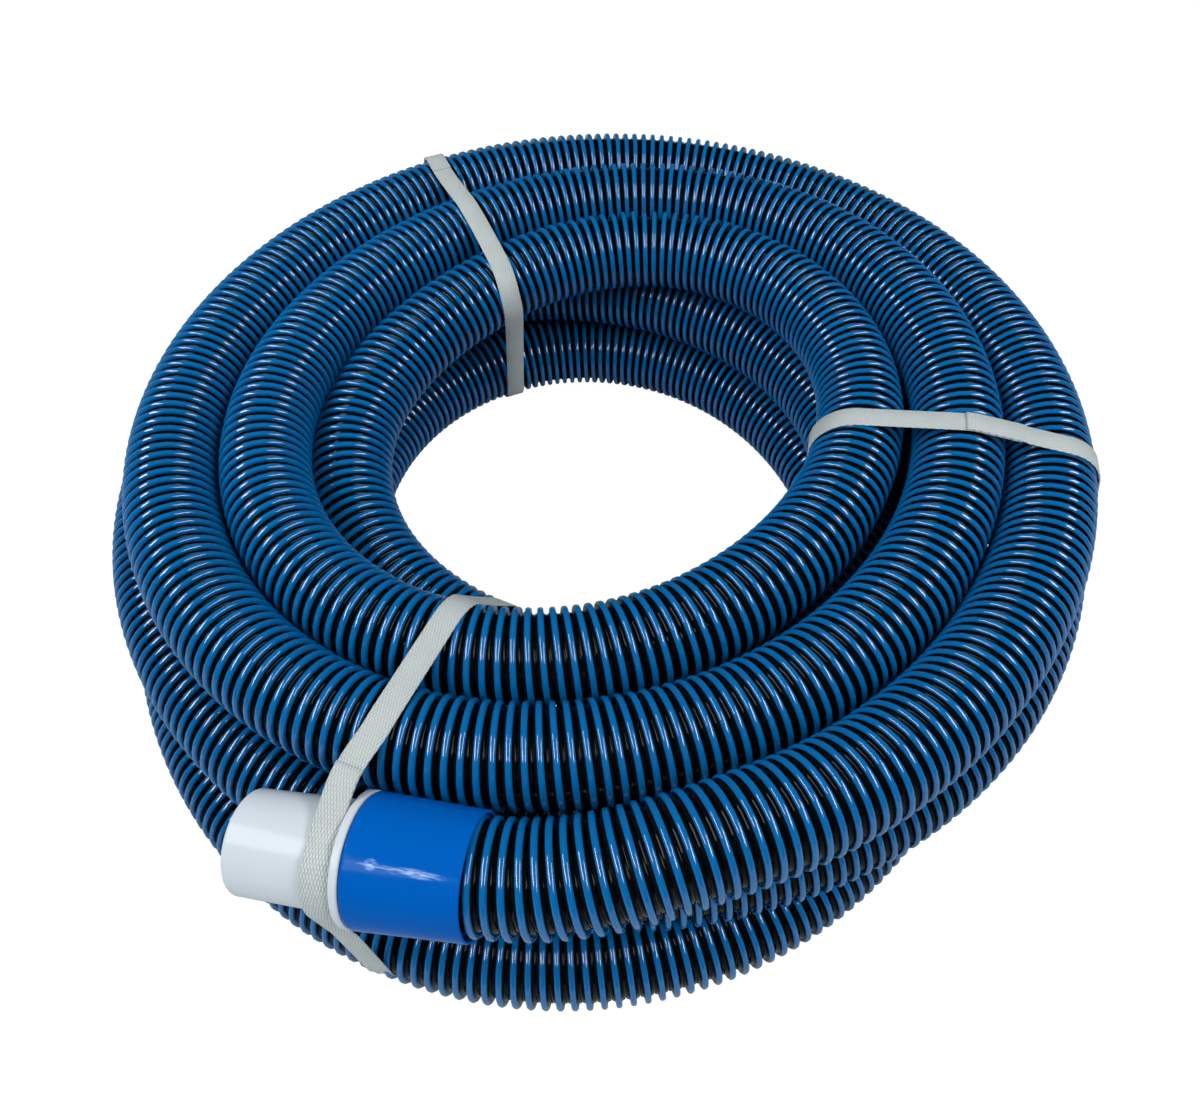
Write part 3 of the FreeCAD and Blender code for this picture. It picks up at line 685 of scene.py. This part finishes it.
def hug(places, widths, reach):
    """Near the nozzle the tape slides up against the flange and turns square to the cuff."""
    line = np.array(cuff_line)
    wanted = np.array(flange_front - cuff_line * (STRAP_WIDTH / 2 + FLANGE_CLEARANCE))
    share = fade(reach, 0.225, 0.260)
    share = share * share * (3 - 2 * share)
    slide = ((wanted - places) @ line) * share
    widths = widths * (1 - share[:, None]) + line * np.sign(widths @ line)[:, None] * share[:, None]
    widths /= np.linalg.norm(widths, axis=1)[:, None]
    return places + slide[:, None] * line, widths


def clear_ribs(places, reach, height, outward, across):
    """Below the nozzle and at the hole the hugging tape moves off the ribs that it would cut."""
    foot = fade(height, 0.088, 0.018) * fade(reach, 0.16, 0.22)
    inner = fade(reach, 0.158, 0.138)
    places = places + foot[:, None] * (np.array(outward) * FOOT_OUT - np.array(across) * FOOT_BACK)
    return places + inner[:, None] * (np.array(outward) * INNER_OUT - np.array(across) * INNER_BACK)


# %% Strap bodies
LAP_LENGTH, LAP_RAMP = 0.029, 0.004


def unit_rows(rows):
    return rows / np.linalg.norm(rows, axis=1)[:, None]


def strap(name, angle, offset, lap_at, hug_nozzle=False, crown_slide=0.0, drop_slide=0.0):
    """A tape round the bundle from its lap, once round and over its own start."""
    outward, across = flat_direction(angle), flat_direction(angle + 90)
    base = BUNDLE_CENTRE + across * offset
    outline, total = strap_outline(strap_sections(base, outward, across))
    upper = np.nonzero(outline[:, 1] > BUNDLE_TOP)[0]
    start = upper[np.abs(outline[upper, 0] - lap_at).argmin()]
    spacing = total / len(outline)
    count = len(outline) + int(LAP_LENGTH / spacing)
    order = (start + np.arange(count + 1)) % len(outline)
    reach, height = outline[order].T
    ahead = unit_rows(np.roll(outline, -2, axis=0) - np.roll(outline, 2, axis=0))[order]
    places = np.array([base + outward * r + UP * h for r, h in zip(reach, height)])
    tangents = np.array([outward * r + UP * h for r, h in ahead])
    widths = np.repeat(np.array(across)[None], len(places), axis=0)
    places = places + stray(reach, height, crown_slide, drop_slide)[:, None] * np.array(across)
    if hug_nozzle:
        places, widths = hug(places, widths, reach)
        places = clear_ribs(places, reach, height, outward, across)
        tangents = unit_rows(np.gradient(places, axis=0))
    outs = unit_rows(np.cross(tangents, widths))
    widths = np.cross(outs, tangents)
    if np.mean(np.einsum("ij,ij->i", outs, places - places.mean(axis=0))) < 0:
        outs = -outs
    run = np.arange(len(places)) * spacing
    lap_rise = fade(run, total - LAP_RAMP, total) * STRAP_THICKNESS
    return tape(name, places + outs * lap_rise[:, None], widths, outs, run)


straps = {
    "strap_front": strap("strap_front_tape", 246.5, 0.0077, 0.270, hug_nozzle=True),
    "strap_right": strap("strap_right_tape", -10.6, -0.0075, 0.222),
    "strap_back": strap("strap_back_tape", 114.0, 0.0095, 0.240, crown_slide=0.0038, drop_slide=-0.0070),
}
for node, thing in straps.items():
    corners = np.array([v.co[:] for v in thing.data.vertices])
    print(node, "lowest", round(float(corners[:, 2].min()) * 1000, 2), "mm,", len(thing.data.polygons), "faces")

# %% [markdown]
# ## Woven tape
# The straps are a pale plastic tape with a fine diamond weave pressed into it. The pattern has to
# follow the tape round its bends, so it reads the tape's own map, where one unit is one metre
# along and across. Two crossing waves give the diamonds, and finer waves give the threads.

# %% Tape material
DIAMOND_LENGTH, DIAMOND_WIDTH, THREAD_PITCH = 0.0038, 0.0013, 0.00045
TAPE_DARK, TAPE_LIGHT = (0.29, 0.355, 0.36, 1), (0.52, 0.60, 0.61, 1)
WEAVE_DEPTH, THREAD_SHARE = 0.00022, 0.12


def tape_material():
    material, tree, shader = new_material("pale woven tape")
    place = add_node(tree, "ShaderNodeSeparateXYZ")
    tree.links.new(add_node(tree, "ShaderNodeUVMap", uv_map="weave").outputs["UV"], place.inputs[0])
    along, over = place.outputs["X"], place.outputs["Y"]
    a = maths(tree, "MULTIPLY", along, math.pi / DIAMOND_LENGTH)
    b = maths(tree, "MULTIPLY", over, math.pi / DIAMOND_WIDTH)
    first = maths(tree, "ABSOLUTE", maths(tree, "SINE", maths(tree, "ADD", a, b)))
    second = maths(tree, "ABSOLUTE", maths(tree, "SINE", maths(tree, "SUBTRACT", a, b)))
    diamonds = maths(tree, "SMOOTH_MIN", maths(tree, "MINIMUM", first, second), 0.45, 0.2)
    diamonds = maths(tree, "MULTIPLY", diamonds, 2.2)
    threads = maths(tree, "SINE", maths(tree, "MULTIPLY", over, 2 * math.pi / THREAD_PITCH))
    noise = add_node(tree, "ShaderNodeTexNoise")
    noise.inputs["Scale"].default_value = 60.0
    tree.links.new(add_node(tree, "ShaderNodeTexCoord").outputs["Object"], noise.inputs["Vector"])
    patchy = maths(tree, "MULTIPLY", noise.outputs["Fac"], 0.35)
    light = maths(tree, "ADD", maths(tree, "MULTIPLY", diamonds, 0.75), patchy)
    tree.links.new(mix_colour(tree, light, TAPE_DARK, TAPE_LIGHT), shader.inputs["Base Color"])
    shader.inputs["Roughness"].default_value = 0.45
    height = maths(tree, "ADD", diamonds, maths(tree, "MULTIPLY", threads, THREAD_SHARE))
    add_bump(tree, height, shader, WEAVE_DEPTH)
    return material


woven = tape_material()
for thing in straps.values():
    thing.data.materials.append(woven)
print(len(straps), "straps in", woven.name)

# %% [markdown]
# ## Cuff finishes
# The cuff's turned pieces keep their solid shapes and get their plastics here. The nozzle is white,
# slightly cool, and glossy. The sleeve is a clear blue and has been handled: on the side to the
# camera it has fine scratches that roughen it, and their pale colour is a painted highlight where
# the front lamp's streak falls. Scratches are noise stretched along the surface and cut to a thin
# range, and they only show inside three soft patches.

# %% Cuff materials
# The pale blue of the scratches is a painted highlight of the front lamp on the sleeve.
SLEEVE_BLUE, PAINTED_HIGHLIGHT_BLUE = (0.0002, 0.089, 0.405, 1), (0.36, 0.55, 0.88, 1)
SCUFF_AND_HIGHLIGHT_PLACE = cuff_lip - cuff_line * 0.022
SCRATCH_AND_HIGHLIGHT_SCALE = (220.0, 1600.0, 1600.0)


def scuffed_blue_with_painted_highlight():
    material, tree, shader = new_material("scuffed blue sleeve with painted highlight")
    out = use_group(tree, moulded, Colour=SLEEVE_BLUE, Tone_Change=0.04, Roughness=0.10, Dust=0.04,
                    Grain_Size=1400.0)
    turned = add_node(tree, "ShaderNodeMapping", vector_type="TEXTURE")
    turned.inputs["Location"].default_value = SCUFF_AND_HIGHLIGHT_PLACE
    turned.inputs["Rotation"].default_value = (0, -cuff_tilt, math.radians(CUFF_HEADING))
    tree.links.new(add_node(tree, "ShaderNodeTexCoord").outputs["Object"], turned.inputs["Vector"])
    stretched = add_node(tree, "ShaderNodeMapping")
    stretched.inputs["Scale"].default_value = SCRATCH_AND_HIGHLIGHT_SCALE
    tree.links.new(turned.outputs["Vector"], stretched.inputs["Vector"])
    fine = add_node(tree, "ShaderNodeTexNoise")
    fine.inputs["Scale"].default_value = 1.0
    fine.inputs["Detail"].default_value = 4.0
    tree.links.new(stretched.outputs["Vector"], fine.inputs["Vector"])
    place = add_node(tree, "ShaderNodeSeparateXYZ")
    tree.links.new(turned.outputs["Vector"], place.inputs[0])

    def patch(middle_x, middle_y, length, height):
        """Soft oval mask on the sleeve, 1 in its middle."""
        along = maths(tree, "DIVIDE", maths(tree, "SUBTRACT", place.outputs["X"], middle_x), length)
        up = maths(tree, "DIVIDE", maths(tree, "SUBTRACT", place.outputs["Y"], middle_y), height)
        away = maths(tree, "ADD", maths(tree, "MULTIPLY", along, along), maths(tree, "MULTIPLY", up, up))
        return ramp(tree, away, (0.0, 1.0), (1.0, 0.0))

    # The three patches sit where the front lamp's highlight falls on the sleeve: a painted highlight.
    long_scuff_highlight, round_scuff_highlight = patch(0.0045, -0.0098, 0.0125, 0.0017), patch(-0.0125, -0.0092, 0.0030, 0.0022)
    faint_highlight_line = maths(tree, "MULTIPLY", patch(-0.003, -0.0094, 0.020, 0.0007), 0.8)
    scuff_and_highlight_patches = maths(tree, "MAXIMUM", maths(tree, "MAXIMUM", long_scuff_highlight, round_scuff_highlight), faint_highlight_line)
    scratches_and_painted_highlight = maths(tree, "MULTIPLY", ramp(tree, fine.outputs["Fac"], (0.40, 0.0), (0.62, 1.0)), scuff_and_highlight_patches)
    # The pale scratch colour is a painted highlight; only the added roughness belongs to the scratches themselves.
    colour = mix_colour(tree, maths(tree, "MULTIPLY", scratches_and_painted_highlight, 0.85), out["Colour"], PAINTED_HIGHLIGHT_BLUE)
    tree.links.new(colour, shader.inputs["Base Color"])
    tree.links.new(maths(tree, "ADD", out["Roughness"], maths(tree, "MULTIPLY", scratches_and_painted_highlight, 0.25)),
                   shader.inputs["Roughness"])
    shader.inputs["Specular IOR Level"].default_value = 0.04
    add_bump(tree, out["Height"], shader, 0.0002)
    return material


finishes = {
    "swivel_sleeve": scuffed_blue_with_painted_highlight(),
    "swivel_nozzle": plastic("cool white nozzle", (0.485, 0.565, 0.63), 0.10, tone_change=0.03, dust=0.04,
                             ripple=0.0001, specular=0.12),
    "fixed_cuff": plastic("blue fixed cuff", (0.0012, 0.118, 0.50), 0.25, tone_change=0.05),
    "seal_ring": plastic("black seal rubber", (0.012, 0.012, 0.012), 0.65, dust=0.2, grain_size=1800.0),
    "retaining_ring": plastic("natural clip plastic", (0.62, 0.60, 0.54), 0.4, tone_change=0.06),
}
for node, material in finishes.items():
    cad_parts[node].data.materials.clear()
    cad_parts[node].data.materials.append(material)
print("finished nodes:", ", ".join(finishes))

# %% [markdown]
# ## Studio
# The streaks on the ribs show two long soft lamps, one on each side of the camera, in a room that
# looks nearly black in reflections. The floor is white to the camera and stays a normal surface
# for light. In reflections it is grey, because the photo's black valleys show hardly any of a
# white table. Right under the coil it is shaded like any floor, so that gaps between turns stay
# dark.

# %% Floor and world
FLOOR_WHITE, FLOOR_IN_GLOSS = (0.86, 0.87, 0.88, 1), (0.32, 0.38, 0.37, 1)
GLOW, GLOW_SHARE = 1.06, 0.93
COIL_MIDDLE, SHADED_FROM, SHADED_TO = (-0.0112, -0.0010, 0), 0.161, 0.240


def white_floor():
    material, tree, shader = new_material("white table")
    shader.inputs["Roughness"].default_value = 0.6
    rays = add_node(tree, "ShaderNodeLightPath").outputs
    tree.links.new(mix_colour(tree, rays["Is Glossy Ray"], FLOOR_WHITE, FLOOR_IN_GLOSS),
                   shader.inputs["Base Color"])
    glow = add_node(tree, "ShaderNodeEmission")
    glow.inputs["Color"].default_value = (1, 1, 1, 1)
    glow.inputs["Strength"].default_value = GLOW
    reach = add_node(tree, "ShaderNodeVectorMath", operation="DISTANCE")
    reach.inputs[1].default_value = COIL_MIDDLE
    tree.links.new(add_node(tree, "ShaderNodeTexCoord").outputs["Object"], reach.inputs[0])
    under_coil = maths(tree, "MULTIPLY", maths(tree, "GREATER_THAN", reach.outputs["Value"], SHADED_FROM),
                       maths(tree, "LESS_THAN", reach.outputs["Value"], SHADED_TO))
    open_floor = maths(tree, "MULTIPLY_ADD", under_coil, -GLOW_SHARE, GLOW_SHARE)
    share = maths(tree, "MULTIPLY", rays["Is Camera Ray"], open_floor)
    mixer = add_node(tree, "ShaderNodeMixShader")
    tree.links.new(share, mixer.inputs[0])
    tree.links.new(shader.outputs["BSDF"], mixer.inputs[1])
    tree.links.new(glow.outputs["Emission"], mixer.inputs[2])
    tree.links.new(mixer.outputs["Shader"], tree.nodes["Material Output"].inputs["Surface"])
    return material


FLOOR_REACH = 3
floor_mesh = bpy.data.meshes.new("floor")
floor_corners = [(x * FLOOR_REACH, y * FLOOR_REACH, 0) for x, y in ((-1, -1), (1, -1), (1, 1), (-1, 1))]
floor_mesh.from_pydata(floor_corners, [], [(0, 1, 2, 3)])
floor = bpy.data.objects.new("floor", floor_mesh)
floor.location.z = -0.0002
scene.collection.objects.link(floor)
floor_mesh.materials.append(white_floor())

world = bpy.data.worlds.new("studio")
world.use_nodes = True
scene.world = world
sky = world.node_tree.nodes["Background"]
rays = add_node(world.node_tree, "ShaderNodeLightPath").outputs
ROOM_LIGHT, ROOM_IN_GLOSS = 0.35, 0.03
level = maths(world.node_tree, "MULTIPLY_ADD", rays["Is Glossy Ray"], ROOM_IN_GLOSS - ROOM_LIGHT, ROOM_LIGHT)
level = maths(world.node_tree, "MULTIPLY_ADD", rays["Is Camera Ray"], 1 - ROOM_LIGHT, level)
world.node_tree.links.new(level, sky.inputs["Strength"])
sky.inputs["Color"].default_value = (1, 1, 1, 1)
print("floor", 2 * FLOOR_REACH, "m wide, world", world.name)

# %% Lamps
LAMP_LENGTH, LAMP_WIDTH, LAMP_DISTANCE, LAMP_ELEVATION = 1.5, 0.45, 1.8, math.radians(49)


def soft_lamp(name, azimuth, power):
    data = bpy.data.lights.new(name, "AREA")
    data.shape = "RECTANGLE"
    data.size = LAMP_LENGTH
    data.size_y = LAMP_WIDTH
    data.energy = power
    data.color = (1.0, 0.95, 0.93)
    lamp = bpy.data.objects.new(name, data)
    direction = flat_direction(azimuth) * math.cos(LAMP_ELEVATION) + UP * math.sin(LAMP_ELEVATION)
    lamp.location = direction * LAMP_DISTANCE
    lamp.rotation_euler = direction.to_track_quat("Z", "Y").to_euler()
    scene.collection.objects.link(lamp)


soft_lamp("lamp_left", 199, 24)
soft_lamp("lamp_right", -19, 20)
print("two lamps,", LAMP_LENGTH, "m long")

# %% [markdown]
# ## What belongs to what
# Each new piece moves with the solid part that carries it, and stands for the solid that it
# replaces.

# %% Bodies
for thing in [hose_web, *ribs, *straps.values()]:
    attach(thing, "coil")
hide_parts("hose")
for node, thing in straps.items():
    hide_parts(node)
print(1 + len(ribs) + len(straps), "pieces ride on the coil")
